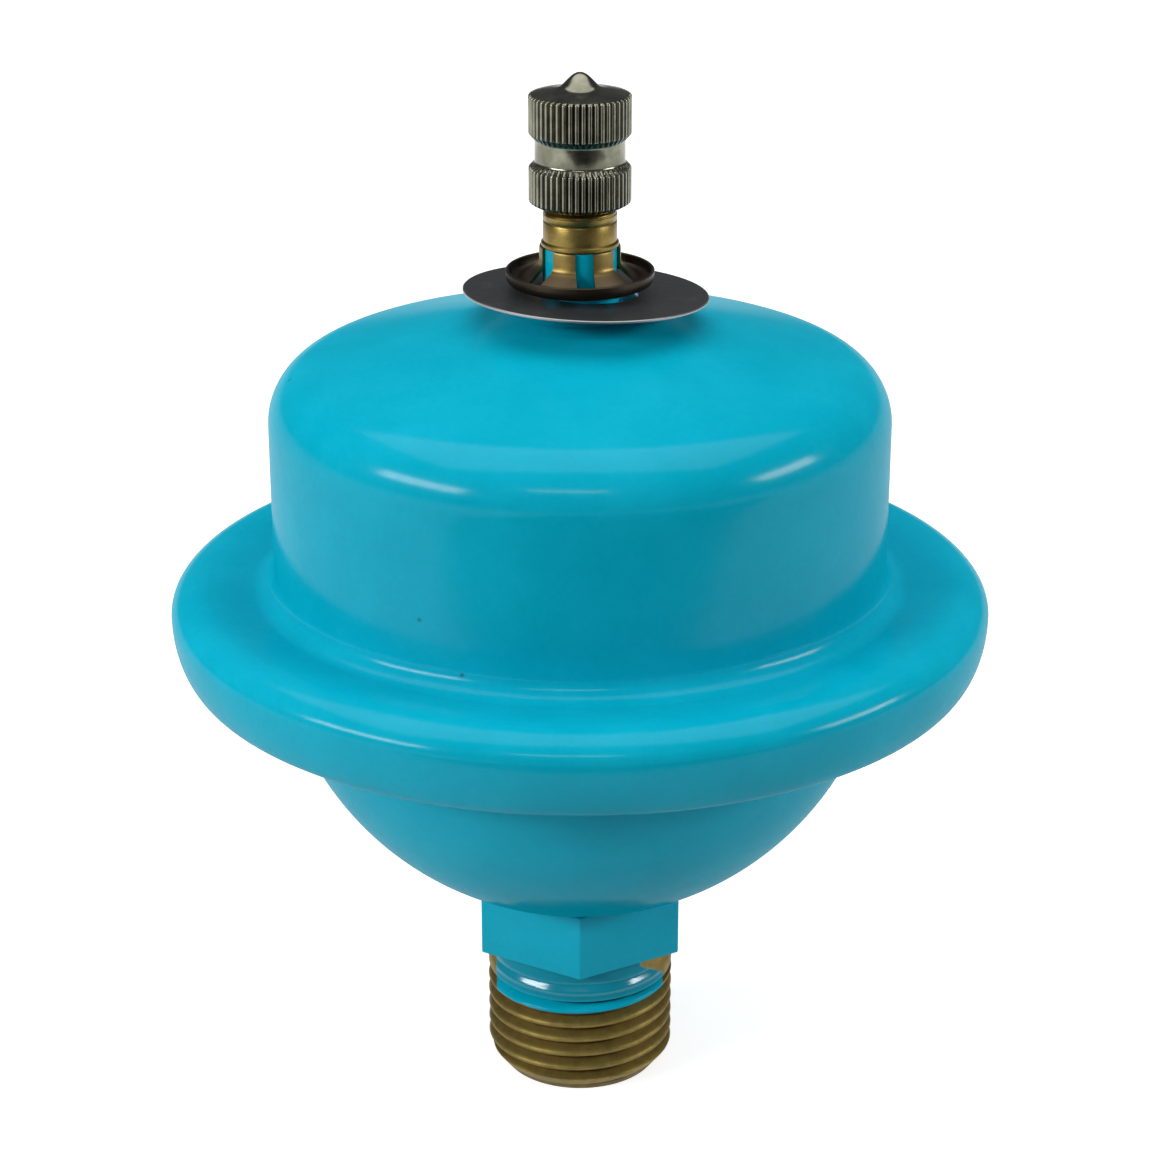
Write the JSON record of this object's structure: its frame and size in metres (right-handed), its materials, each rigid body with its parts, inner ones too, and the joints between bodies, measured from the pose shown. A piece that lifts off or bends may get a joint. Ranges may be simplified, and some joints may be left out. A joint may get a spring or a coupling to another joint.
{
  "type": "water hammer arrestor",
  "caption": "Compact diaphragm vessel with a male-threaded brass inlet, rolled rim and capped air valve that absorbs pressure surges in a water pipe.",
  "frame": {"origin": "centre of the inlet thread's end face, which is the lowest face of the part", "axes": "+Z along the part's centre line from the inlet thread to the air valve; -Y towards the camera of the picture, which looks at a corner of the hexagon"},
  "size_m": [0.0886, 0.0884, 0.1144],
  "materials": {
    "teal_paint": "gloss enamel with slight orange peel",
    "black_rubber": "matt moulded rubber",
    "brass_plain": "machined, slightly tarnished",
    "white_plastic": "moulded acetal",
    "braze": "as brazed",
    "spring_steel": "bright drawn wire",
    "bronzed_steel": "dark bronzed spring steel, worn bright on the cone",
    "dark_plate": "dark anodised face with a bright cut edge, left plain",
    "nickel": "nickel plate over knurled brass"
  },
  "bodies": {
    "vessel": {"upper_shell": "teal_paint", "lower_shell": "teal_paint", "diaphragm": "black_rubber", "inlet_fitting": "brass_plain", "inlet_grille": "white_plastic", "inlet_braze_ring": "braze", "valve_stem": "brass_plain", "valve_braze_ring": "braze", "core_plug": "brass_plain", "core_barrel": "brass_plain", "core_barrel_seal": "black_rubber", "core_spring": "spring_steel", "retainer": "bronzed_steel"},
    "plate": {"name_plate": "dark_plate"},
    "button": {"diaphragm_button": "brass_plain"},
    "core": {"core_pin": "brass_plain", "core_seat_cup": "brass_plain", "core_seat_rubber": "black_rubber"},
    "gasket": {"cap_gasket": "black_rubber"},
    "cap": {"valve_cap": "nickel"}
  },
  "joints": [
    {"name": "cap_lift", "type": "slide", "parent": "vessel", "child": "gasket", "axis": [0, 0, 1], "range_m": [0, 0.00953]},
    {"name": "cap_turn", "type": "hinge", "parent": "gasket", "child": "cap", "pos_m": [0, 0, 0.1], "axis": [0, 0, 1], "range_deg": [0, 4320]},
    {"name": "core_press", "type": "slide", "parent": "vessel", "child": "core", "axis": [0, 0, 1], "range_m": [-0.0013, 0], "stiffness_N_per_m": 2000, "springref_m": 0.001, "deforming": ["core_spring"]},
    {"name": "diaphragm_travel", "type": "slide", "parent": "vessel", "child": "button", "axis": [0, 0, 1], "range_m": [0, 0.04], "stiffness_N_per_m": 200, "springref_m": -0.01, "deforming": ["diaphragm"]},
    {"name": "plate_turn", "type": "hinge", "parent": "vessel", "child": "plate", "pos_m": [0.00063, 0, 0.0911], "axis": [0.0401, 0.0453, 0.9982], "continuous": true}
  ],
  "couplings": [
    {"joint": "cap_turn", "follows": "cap_lift", "rad_per_m": 7915.8}
  ]
}
